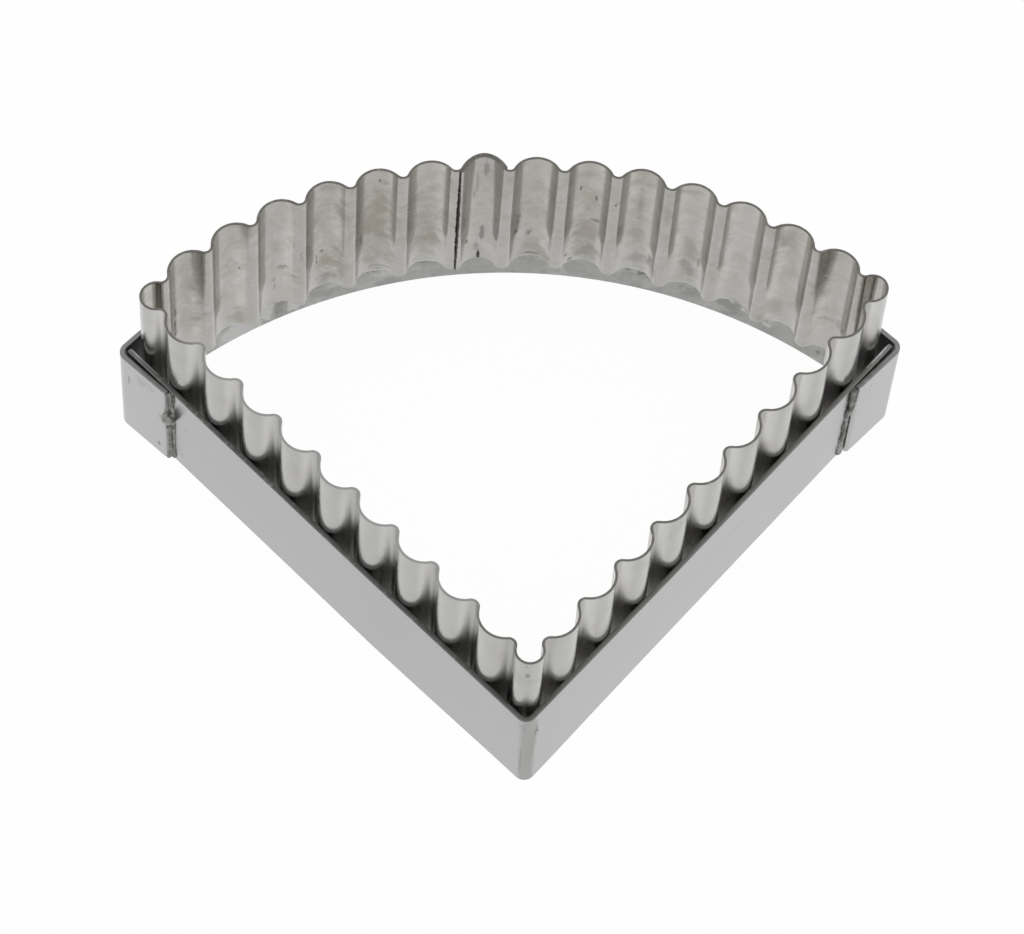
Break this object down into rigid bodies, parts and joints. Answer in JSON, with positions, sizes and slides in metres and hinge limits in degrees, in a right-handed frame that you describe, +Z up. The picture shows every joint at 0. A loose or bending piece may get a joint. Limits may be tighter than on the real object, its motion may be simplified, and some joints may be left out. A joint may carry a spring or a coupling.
{
  "type": "fluted wedge pastry cutter",
  "caption": "Wedge-shaped fluted pastry cutter: a tall corrugated cutting band held by its crests in a low plain metal frame, open right through.",
  "frame": {"origin": "centre of the bounding box in plan, at the bottom of the frame, where the cutter stands with its cutting edge up", "axes": "+X to the right corner, +Y from the apex to the curved side, +Z up to the cutting edge"},
  "size_m": [0.1222, 0.0924, 0.035],
  "materials": {
    "band_sheet": "satin, stained",
    "frame_sheet": "satin",
    "weld_bead": "rough, dark",
    "solder": "smeared, bright"
  },
  "bodies": {
    "root": {"fluted_band": "band_sheet", "front_frame": "frame_sheet", "rear_frame": "frame_sheet", "left_tab_weld": "weld_bead", "right_tab_weld": "weld_bead", "foot_solder": "solder"}
  },
  "joints": []
}
